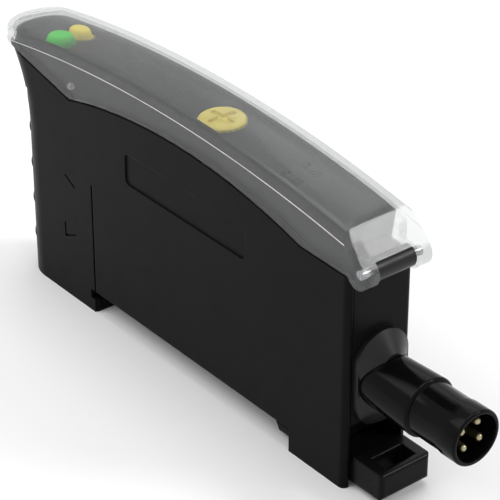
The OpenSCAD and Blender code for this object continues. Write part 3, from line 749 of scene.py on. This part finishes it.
@dataclass
class CoverPiece:
    """The clear hinged cover: a capped section along a bow, round in front and sloping to its hinge."""

    half_w: float = 4.985
    ledge: float = 0.15
    ledge_blend: Point = (0.02, 0.005, 0.03)
    wall: float = 0.85
    cap_side: float = 0.85
    cap_r: float = 1.2
    crown_angle: float = 75.0
    bow_r: float = 200.0
    bow_x: float = -1.0
    edge_z: float = 33.235
    edge_r: float = 0.1
    rim_r: float = 0.12
    nose_x: float = 33.3
    nose_drop: float = 0.4
    sweep_end: float = 37.6
    skirt_depth: float = 3.2
    skirt_r: float = 87.0
    skirt_front: float = 20.9
    skirt_rear: float = 25.0
    skirt_shift: float = 0.5
    skirt_tip: float = 34.5
    tail_x: float = 41.5
    tail_drop: float = 0.96
    hinge: Span = (34.9, 27.3516)
    lobe_r: float = 1.75
    lobe_gap: float = 6.1
    lobe_play: float = 0.2
    lobe_inset: float = 0.01
    lobe_round: float = 0.12
    slope_angle: float = 42.0
    slope_inset: float = 0.02
    roll_r: float = 3.0
    hollow_depth: float = 14.0
    hollow_past_hinge: float = 2.0
    barrel_room: float = 1.55
    arm_room: float = 1.6
    arm_ahead: float = 12.0
    arm_clear: float = 9.0
    bore_r: float = 0.64
    bore_end: float = 0.5
    bead_r: float = 0.5
    bead_at: Point = (-20.6, 4.74, 29.03)
    line_lift: float = 0.006
    line_from: float = 40.0
    line_inset: float = 0.03
    cutter_margin: float = 1.0
    first_depth: float = -2.0
    depth_rounds: int = 12
    side_steps: int = 72
    nose_steps: int = 48
    corner_steps: int = 5
    bend_steps: int = 9
    crown_steps: int = 14
    roll_steps: int = 24
    bar_steps: int = 72
    bead_rings: int = 17
    bead_turns: int = 32
    line_steps: int = 6
    line_angle: float = 80.0
    shell_angle: float = 40.0

    def edge(self, x: np.ndarray | float) -> np.ndarray:
        """Height of the side edge: a circle of the bow's radius through its peak."""
        return self.edge_z - self.bow_r + np.sqrt(self.bow_r**2 - (x - self.bow_x) ** 2)

    def skirt_bow(self, x: np.ndarray | float) -> np.ndarray:
        """Height of the arc in the skirt's lower edge, held level beyond both of its ends.

        Args:
            x: places along the body.

        Returns:
            The heights.
        """
        middle = (self.skirt_rear - self.skirt_front) / 2 - self.skirt_shift
        reach = np.clip(x, -self.skirt_front, self.skirt_rear) - middle
        return self.edge_z - self.skirt_depth - self.skirt_r + np.sqrt(self.skirt_r**2 - reach**2)

    def nose_plane(self, x: np.ndarray | float) -> np.ndarray:
        """Height of the plane that ends the cover below its nose, along the bow's direction there."""
        fall = math.tan(math.asin((self.nose_x + self.bow_x) / self.bow_r))
        return self.edge(-self.nose_x) + (x + self.nose_x) * fall - self.nose_drop

    def skirt_line(self, x: np.ndarray) -> np.ndarray:
        """Height of the skirt's lower edge.

        From rear to front it is a straight tail, an arc, a straight rise and the nose's own plane.

        Args:
            x: places along the body.

        Returns:
            The heights.
        """
        corner_z = self.skirt_bow(-self.skirt_front)
        tip_z = self.nose_plane(-self.skirt_tip)
        rear_z = self.skirt_bow(self.skirt_rear)
        end_z = self.hinge[1] - self.tail_drop
        rise = corner_z + (-self.skirt_front - x) / (self.skirt_tip - self.skirt_front) * (tip_z - corner_z)
        tail = rear_z + (end_z - rear_z) * (x - self.skirt_rear) / (self.tail_x - self.skirt_rear)
        line = np.where(x < -self.skirt_front, rise, np.where(x > self.skirt_rear, tail, self.skirt_bow(x)))
        return np.where(x < -self.skirt_tip, self.nose_plane(x), line)

    def path(self) -> Path:
        """Follow the near side to the front, round the nose and back along the far side.

        Returns:
            Points of the path, and the upward and the outward direction there.
        """
        quarter = 0.5 * math.pi
        side_x = np.linspace(self.sweep_end, -self.nose_x, self.side_steps)
        side = np.arccos((side_x - self.bow_x) / self.bow_r)
        turn = np.linspace(-quarter, quarter, self.nose_steps)[1:-1]
        angle = np.concatenate([side, np.full(len(turn), side[-1]), side[::-1]])
        swing = np.concatenate([np.full(len(side), -quarter), turn, np.full(len(side), quarter)])
        zero = np.zeros_like(angle)
        up = np.stack([np.cos(angle), zero, np.sin(angle)], axis=1)
        ahead = np.stack([-np.sin(angle), zero, np.cos(angle)], axis=1)
        out = ahead * np.cos(swing)[:, None] + np.array([0.0, 1.0, 0.0]) * np.sin(swing)[:, None]
        centre = np.array([self.bow_x, 0.0, self.edge_z - self.bow_r])
        return centre + self.bow_r * up, up, out

    def depth(self, path: Path, half: float) -> np.ndarray:
        """Solve how far below the path the skirt line lies, by repeated substitution.

        Args:
            path: points of the path, and the upward and the outward direction there.
            half: distance from the middle of the section.

        Returns:
            One height per path point, below zero.
        """
        spot, up, out = path
        height = np.full(len(spot), self.first_depth)
        for _ in range(self.depth_rounds):
            here = spot + up * height[:, None] + out * half
            height = height + (self.skirt_line(here[:, 0]) - here[:, 2]) / up[:, 2]
        return height

    def cap(self, half: float, corner: float) -> np.ndarray:
        """Half section of a cap: an upright side, a round corner and a crown of large radius.

        Args:
            half: half width.
            corner: corner radius.

        Returns:
            Rows of distance from the middle and height.
        """
        lift = (half - corner) / math.cos(math.radians(self.crown_angle))
        low = self.cap_side - lift * math.sin(math.radians(self.crown_angle))
        bend = arc((half - corner, self.cap_side), corner, 0.0, self.crown_angle, self.bend_steps)
        crown = arc((0.0, low), lift + corner, self.crown_angle, 90.0, self.crown_steps)
        crown[-1, 0] = 0.0
        return np.concatenate([bend, crown[1:]])

    def swept(self, name: str, section: np.ndarray, floor: float | None) -> Shape:
        """Carry a half section along the path and close it below and at the rear.

        Below the section come an upright side and a flat bottom, at floor, or on the skirt line with a
        round rim.

        Args:
            name: the object's name.
            section: rows of width and height, from the side's foot to the crown.
            floor: height of the bottom under the path, or None for the skirt line.

        Returns:
            The closed solid.
        """
        path = self.path()
        count = len(path[0])
        half = float(section[0, 0])
        if floor is None:
            rim_r = self.rim_r
            foot = self.depth(path, half)
            middle = self.depth(path, 0.0)
        else:
            rim_r = 0.0
            foot = np.full(count, floor)
            middle = foot
        rim = arc((half - rim_r, rim_r), rim_r, 270.0, 360.0, self.corner_steps)
        widths = np.concatenate([[0.0], rim[:, 0], section[:, 0]])
        above = np.repeat(section[None, :, 1], count, axis=0)
        heights = np.concatenate([middle[:, None], foot[:, None] + rim[None, :, 1], above], axis=1)
        return new_piece(name, carry(path, widths, heights), grid_faces(count, len(widths), True, False))

    def outer_section(self) -> np.ndarray:
        """Half section of the outside: the skirt's top edge, the narrow ledge and the cap.

        Returns:
            Rows of distance from the middle and height.
        """
        foot = self.half_w - self.ledge
        blend_w, blend_low, blend_high = self.ledge_blend
        turned = arc((self.half_w - self.edge_r, -self.edge_r), self.edge_r, 0.0, 90.0, self.corner_steps)
        step = np.array([[foot + blend_w, blend_low], [foot, blend_high]])
        return np.concatenate([turned, step, self.cap(foot, self.cap_r)])

    def slope_facing(self) -> np.ndarray:
        """Direction in X and Z that the rear slope faces."""
        turn = math.radians(self.slope_angle)
        return np.array([math.cos(turn), math.sin(turn)])

    def slope_reach(self) -> float:
        """Distance of the rear slope from the origin, along its facing."""
        return float(self.slope_facing() @ np.array(self.hinge)) + self.lobe_r - self.slope_inset

    def before_slope(self, gap: float, foot: np.ndarray) -> np.ndarray:
        """Outline in X and Z of all that lies in front of the rear slope.

        The slope is a straight line that touches the lobes at slope_angle. A circle of roll_r, which touches
        that line and the circle of the cap's crown from inside, leads it into the top.

        Args:
            gap: how far the slope is set in.
            foot: points below the slope, from the bottom upwards.

        Returns:
            The outline's points.
        """
        bow = np.array([self.bow_x, self.edge_z - self.bow_r])
        reach = self.bow_r + float(self.cap(self.half_w - self.ledge, self.cap_r)[-1, 1]) - self.roll_r
        line = self.slope_reach() - self.roll_r - float(self.slope_facing() @ bow)
        top = math.radians(self.slope_angle) + math.acos(line / reach)
        centre = bow + reach * np.array([math.cos(top), math.sin(top)])
        roll_r = self.roll_r - gap
        curve = arc((centre[0], centre[1]), roll_r, self.slope_angle, math.degrees(top), self.roll_steps)
        below = np.array([[-FAR, -FAR], [foot[0, 0], -FAR]])
        above = np.array([[curve[-1, 0], FAR], [-FAR, FAR]])
        return np.concatenate([below, foot, curve, above])

    def beads(self, material: Material) -> None:
        """Make the two small round grips on the skirt: half circles turned about an axis across the body.

        Args:
            material: their finish.
        """
        x, y, z = self.bead_at
        round_end = arc((y, 0.0), self.bead_r, 180.0, 0.0, self.bead_rings)
        round_end[[0, -1], 1] = 0.0
        ends = [round_end * np.array([side, 1.0]) for side in (-1, 1)]
        beads = [lathe("bead", end, (x, 0.0, z), 1, self.bead_turns) for end in ends]
        pair = join_pieces("grip_beads", beads)
        settle(pair, material, Body.COVER, "clear_plastic")

    def bar(self, name: str, half_len: float, radius: float, rounding: float = 0.0) -> Shape:
        """Make a round bar about the hinge axis.

        Args:
            name: the object's name.
            half_len: half of its length.
            radius: its radius.
            rounding: the radius of its rims.

        Returns:
            The closed solid.
        """
        centre = (half_len - rounding, radius - rounding)
        rim = arc(centre, rounding, 0.0, 90.0, self.corner_steps)
        ends = np.concatenate([[[half_len, 0.0]], rim])
        profile = np.concatenate([ends, ends[::-1] * np.array([-1.0, 1.0])])
        return lathe(name, profile, (self.hinge[0], 0.0, self.hinge[1]), 1, self.bar_steps)

    def ledge_line(self, material: Material) -> None:
        """Lay a pale line on the ledge, a painted highlight along the cover's edge: part of a round carried
        along the path, a hair above the cover.

        Args:
            material: its finish.
        """
        centre = (self.half_w - self.edge_r, -self.edge_r)
        bend = arc(centre, self.edge_r + self.line_lift, self.line_from, 90.0, self.line_steps)
        section = np.concatenate([bend, [[self.half_w - self.ledge + self.line_inset, self.line_lift]]])
        spot, up, out = self.path()
        keep = spot[:, 0] < self.hinge[0] - self.lobe_r
        points = carry((spot[keep], up[keep], out[keep]), section[:, 0], section[:, 1])
        faces = grid_faces(int(keep.sum()), len(section), False, False)
        line = new_piece("ledge_line", points, faces, self.line_angle)
        settle(line, material, Body.COVER, "clear_plastic")

    def build(self, material: Material) -> None:
        """Make the cover and let it ride on its own body.

        Args:
            material: its finish.
        """
        x, z = self.hinge
        facing = self.slope_facing()
        middle = self.lobe_gap / 2
        width = self.half_w + self.cutter_margin
        touch = np.array(self.hinge) + facing * (self.lobe_r - self.slope_inset)
        cover = self.swept("clear_cover_shell", self.outer_section(), None)
        outer = self.before_slope(0.0, np.array([self.hinge, touch]))
        combine(cover, prism("outer_limit", outer, width), Cut.KEEP)
        lobes = self.bar("hinge_bar", self.half_w - self.lobe_inset, self.lobe_r, self.lobe_round)
        combine(cover, lobes, Cut.JOIN)
        room_half = self.half_w - self.ledge - self.wall
        rooms = ((room_half, x - self.lobe_r), (middle - self.lobe_play, x + self.hollow_past_hinge))
        for half, rear in rooms:
            hollow = self.swept("hollow", self.cap(half, self.cap_r - self.wall), -self.hollow_depth)
            foot_z = (self.slope_reach() - self.wall - rear * facing[0]) / facing[1]
            limit = self.before_slope(self.wall, np.array([[rear, foot_z]]))
            combine(hollow, prism("hollow_limit", limit, width), Cut.KEEP)
            combine(cover, hollow, Cut.REMOVE)
        combine(cover, self.bar("barrel_room", middle, self.barrel_room), Cut.REMOVE)
        arm_low = (x - self.arm_ahead, -middle, z - self.arm_clear)
        arm_high = (x + self.arm_clear, middle, z + self.arm_room)
        combine(cover, block("arm_room", arm_low, arm_high), Cut.REMOVE)
        combine(cover, self.bar("pin_room", self.half_w - self.bore_end, self.bore_r), Cut.REMOVE)
        clean(cover.data)
        soften(cover.data, self.shell_angle)
        shading = cover.modifiers.new("face_weighted_shading", "WEIGHTED_NORMAL")
        shading.keep_sharp = True
        settle(cover, material, Body.COVER, "clear_plastic", "clear_cover")


@dataclass
class LampWindow:
    """Low clouded dome at the end of a light pipe, which spreads its light."""

    name: str
    slot: str
    node: str
    centre: Span
    half: Span
    base_z: float = 31.12
    height: float = 1.35
    panel_rise: float = 0.136
    fall_power: int = 8
    rings: int = 17
    turns: int = 48
    angle: float = 60.0

    def build(self, material: Material) -> None:
        """Make the dome and let it ride on the housing.

        Its height falls with a power of the share of the way from the middle to the oval rim, and its foot
        rises along X with the panel.

        Args:
            material: its finish.
        """
        share = np.linspace(0.0, 1.0, self.rings)
        lift = np.append(self.height * (1.0 - share**self.fall_power), 0.0)
        share = np.append(share, 0.0)
        turn = full_turn(self.turns)
        across_x = self.half[0] * share[:, None] * np.cos(turn)
        across_y = self.half[1] * share[:, None] * np.sin(turn)
        z = self.base_z + lift[:, None] + self.panel_rise * across_x
        points = np.stack([self.centre[0] + across_x, self.centre[1] + across_y, z], axis=-1).reshape(-1, 3)
        dome = new_piece(self.name, points, grid_faces(len(share), len(turn), False, True), self.angle)
        settle(dome, material, Body.HOUSING, self.slot, self.node)


@dataclass
class KnobPiece:
    """The gain knob: a domed disc with a knurled rim and a cross slot."""

    centre: Span = (4.5, 0.0)
    foot_z: float = 30.8
    rim_z: float = 32.8
    top_z: float = 33.45
    radius: float = 3.08
    shoulder: float = 0.6
    shoulder_rise: float = 0.8
    knurls: int = 24
    knurl_depth: float = 0.12
    knurl_from: float = 0.9
    slot_half: Span = (2.0, 0.42)
    slot_depth: float = 0.55
    slot_clear: float = 1.0
    bend_steps: int = 14
    turns: int = 192

    def build(self, material: Material) -> None:
        """Make the knob and let it ride on its own body.

        Rings of a rounded profile are turned about the axis, and the rim's radius swings with the cosine of
        the turn times the number of knurls.

        Args:
            material: its finish.
        """
        bend = np.radians(np.linspace(0.0, 90.0, self.bend_steps))
        flat = self.radius - self.shoulder
        out = np.concatenate([[0.0, self.radius], flat + self.shoulder * np.cos(bend), [0.0]])
        rise = self.shoulder_rise * (self.top_z - self.rim_z)
        edge_z = self.rim_z + rise * np.sin(bend)
        height = np.concatenate([[self.foot_z, self.foot_z], edge_z, [self.top_z]])
        turn = full_turn(self.turns)
        swing = np.where(out > flat + self.knurl_from * self.shoulder, self.knurl_depth, 0.0)
        reach = out[:, None] - swing[:, None] * (1.0 - np.cos(self.knurls * turn)) / 2
        x = self.centre[0] + reach * np.cos(turn)
        y = self.centre[1] + reach * np.sin(turn)
        z = np.repeat(height[:, None], len(turn), axis=1)
        points = np.stack([x, y, z], axis=-1).reshape(-1, 3)
        knob = new_piece("gain_knob_dome", points, grid_faces(len(out), len(turn), False, True))
        for half_x, half_y in (self.slot_half, self.slot_half[::-1]):
            low = (self.centre[0] - half_x, self.centre[1] - half_y, self.top_z - self.slot_depth)
            high = (self.centre[0] + half_x, self.centre[1] + half_y, self.top_z + self.slot_clear)
            combine(knob, block("slot", low, high), Cut.REMOVE)
        clean(knob.data)
        soften(knob.data, SMOOTH_ANGLE)
        settle(knob, material, Body.KNOB, "yellow_plastic", "gain_knob")


@dataclass
class ConnectorPiece:
    """The round rear connector with its snap groove, socket and contact pins."""

    axis_z: float = 11.5
    neck_r: float = 3.2
    root_r: float = 3.6
    boss_end: float = 34.4
    fairing_end: float = 36.2
    collar_r: float = 3.85
    collar_end: float = 42.6
    groove_r: float = 3.46
    groove_end: float = 46.8
    flare_x: float = 47.5
    flare_r: float = 3.6
    end_x: float = 50.2
    nose_round: float = 0.3
    mouth_round: float = 0.1
    socket_r: float = 3.05
    socket_x: float = 45.6
    bore_r: float = 2.5
    flange_r: float = 3.95
    flange: Span = (30.4, 31.5)
    pin_r: float = 0.5
    pin_ring: float = 1.75
    pin_turn: float = 55.15
    pin_sweep: float = 270.0
    pin_count: int = 4
    pin_span: Span = (28.1, 49.0)
    shoulder_steps: int = 8
    nose_steps: int = 7
    mouth_steps: int = 5
    tip_steps: int = 9
    wall_turns: int = 96
    pin_turns: int = 40

    def body_profile(self) -> np.ndarray:
        """Closed outline of the connector's wall as place along X and radius, with rounded shoulders.

        Returns:
            The outline's points.
        """
        front, back = self.flange
        round_r = self.collar_r - self.groove_r
        nose_at = (self.end_x - self.nose_round, self.flare_r - self.nose_round)
        mouth_at = (self.end_x - self.mouth_round, self.socket_r + self.mouth_round)
        return np.concatenate([
            [[front, self.bore_r], [front, self.flange_r], [back, self.flange_r], [back, self.neck_r]],
            [[self.boss_end, self.neck_r], [self.boss_end, self.root_r], [self.fairing_end, self.root_r]],
            arc((self.collar_end - round_r, self.groove_r), round_r, 90.0, 0.0, self.shoulder_steps),
            [[self.groove_end, self.groove_r], [self.flare_x, self.flare_r]],
            arc(nose_at, self.nose_round, 90.0, 0.0, self.nose_steps),
            arc(mouth_at, self.mouth_round, 0.0, -90.0, self.mouth_steps),
            [[self.socket_x, self.socket_r], [self.socket_x, self.bore_r]],
        ])

    def build(self, plastic: Material, metal: Material) -> None:
        """Turn the wall and the four pins and let them ride on the housing.

        Args:
            plastic: finish of the wall.
            metal: finish of the pins.
        """
        wall = lathe("connector_wall", self.body_profile(), (0.0, 0.0, self.axis_z), 0, self.wall_turns)
        settle(wall, plastic, Body.HOUSING, "black_connector", "connector_body")
        start, end = self.pin_span
        tip = arc((end, 0.0), self.pin_r, 90.0, 0.0, self.tip_steps)
        tip[-1, 1] = 0.0
        profile = np.concatenate([[[start, 0.0], [start, self.pin_r]], tip])
        last_turn = self.pin_turn + self.pin_sweep
        places = arc((0.0, self.axis_z), self.pin_ring, self.pin_turn, last_turn, self.pin_count)
        pins = [lathe("pin", profile, (0.0, float(y), float(z)), 0, self.pin_turns) for y, z in places]
        group = join_pieces("contact_pin_set", pins)
        settle(group, metal, Body.HOUSING, "gold_pin", "contact_pins")


@dataclass(frozen=True)
class SoftLamp:
    """A square lamp that shines at the part."""

    name: str
    place: Point
    size: float
    power: float


@dataclass
class Studio:
    """Camera, soft lamps, pale floor and white surroundings."""

    camera_at: Point = (198.97, -152.72, 164.49)
    target: Point = (9.77, 0.0, 17.17)
    lens: float = 167.4
    sensor: float = 36.0
    nearest: float = 10.0
    floor_z: float = -3.1
    floor_reach: float = 3000.0
    floor_colour: Colour = (0.9, 0.9, 0.9)
    floor_roughness: float = 0.9
    ambient: float = 0.55
    lamps: tuple[SoftLamp, ...] = (
        SoftLamp("key_softbox", (-150.0, -330.0, 520.0), 420.0, 1.6),
        SoftLamp("rear_softbox", (366.0, 357.0, 395.0), 165.0, 1.2),
        SoftLamp("top_strip", (0.0, 60.0, 620.0), 300.0, 1.1),
        SoftLamp("far_card", (-233.0, 350.0, 442.0), 320.0, 0.32),
    )

    def stand(self, name: str, data: bpy.types.ID, place: Point) -> Shape:
        """Stand a camera or lamp at a place and turn it to the target.

        Args:
            name: the object's name.
            data: the camera or lamp.
            place: where it stands.

        Returns:
            The linked object.
        """
        obj = bpy.data.objects.new(name, data)
        bpy.context.scene.collection.objects.link(obj)
        obj.location = Vector(place) * MM
        direction = Vector(self.target) * MM - obj.location
        obj.rotation_euler = direction.to_track_quat("-Z", "Y").to_euler()
        return obj

    def camera(self) -> None:
        """Stand the camera at the photograph's angle."""
        data = bpy.data.cameras.new("camera")
        data.lens = self.lens
        data.sensor_fit = "HORIZONTAL"
        data.sensor_width = self.sensor
        data.clip_start = self.nearest * MM
        bpy.context.scene.camera = self.stand("camera", data, self.camera_at)

    def lights(self) -> None:
        """Hang the soft square lamps."""
        for lamp in self.lamps:
            data = bpy.data.lights.new(lamp.name, "AREA")
            data.size = lamp.size * MM
            data.energy = lamp.power
            self.stand(lamp.name, data, lamp.place)

    def surroundings(self) -> None:
        """Light the scene evenly and show white to the camera, in gloss and through clear plastic."""
        world = bpy.data.worlds.new("surroundings")
        bpy.context.scene.world = world
        world.use_nodes = True
        nodes = world.node_tree.nodes
        links = world.node_tree.links
        nodes.clear()
        rays = nodes.new("ShaderNodeLightPath")
        seen = rays.outputs["Is Camera Ray"]
        for kind in ("Is Glossy Ray", "Is Transmission Ray"):
            either = nodes.new("ShaderNodeMath")
            either.operation = "MAXIMUM"
            links.new(seen, either.inputs[0])
            links.new(rays.outputs[kind], either.inputs[1])
            seen = either.outputs[0]
        mix = nodes.new("ShaderNodeMixShader")
        links.new(seen, mix.inputs["Fac"])
        for side, strength in enumerate((self.ambient, 1.0), start=1):
            light = nodes.new("ShaderNodeBackground")
            light.inputs["Color"].default_value = WHITE
            light.inputs["Strength"].default_value = strength
            links.new(light.outputs[0], mix.inputs[side])
        output = nodes.new("ShaderNodeOutputWorld")
        links.new(mix.outputs[0], output.inputs["Surface"])

    def floor(self) -> None:
        """Lay a wide pale floor under the feet."""
        reach = self.floor_reach
        corners = np.array([[-reach, -reach], [reach, -reach], [reach, reach], [-reach, reach]])
        points = np.column_stack([corners, np.full(len(corners), self.floor_z)])
        floor = new_piece("floor", points, [[0, 1, 2, 3]])
        graph = NodeGraph("pale_floor")
        shader = graph.add(
            "ShaderNodeBsdfPrincipled",
            Base_Color=self.floor_colour + OPAQUE,
            Roughness=self.floor_roughness,
            Specular_IOR_Level=0.0,
        )
        dress(floor, graph.finish(shader))

    def build(self) -> None:
        """Set up camera, lamps, surroundings and floor."""
        self.camera()
        self.lights()
        self.surroundings()
        self.floor()
        bpy.context.scene.view_settings.view_transform = "Standard"


def dress_nodes(nodes: dict[str, Shape], materials: dict[str, Material]) -> None:
    """Give every kept node its finish.

    Args:
        nodes: the loaded nodes by name.
        materials: built materials by finish name.
    """
    for node, finish in NODE_FINISHES.items():
        dress(nodes[node], materials[finish.name])
        LOG.info("%s wears %s", node, finish.name)


def main() -> None:
    """Load the frame, build each piece and report it."""
    logging.basicConfig(level=logging.INFO, format="%(name)s: %(message)s")
    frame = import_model()
    Studio().build()
    finishes = sorted({*NODE_FINISHES.values(), *PIECE_FINISHES}, key=lambda finish: finish.name)
    materials = {finish.name: finish.material() for finish in finishes}
    dress_nodes(frame["nodes"], materials)
    cover = CoverPiece()
    cover.build(materials[CLEAR_COVER.name])
    cover.ledge_line(materials[LEDGE_HIGHLIGHT_PAINT.name])
    cover.beads(materials[CLEAR_BEAD.name])
    windows = (
        LampWindow("green_window", "green_lens", "green_light_pipe", (-27.8, -1.1), (2.5, 1.7)),
        LampWindow("yellow_window", "yellow_lens", "yellow_light_pipe", (-27.7, 1.86), (2.2, 1.25)),
    )
    for window in windows:
        window.build(materials[LIT_PANEL.name])
    KnobPiece().build(materials[YELLOW_KNOB.name])
    ConnectorPiece().build(materials[BLACK_CONNECTOR.name], materials[GOLD_PIN.name])


if __name__ == "__main__":
    main()
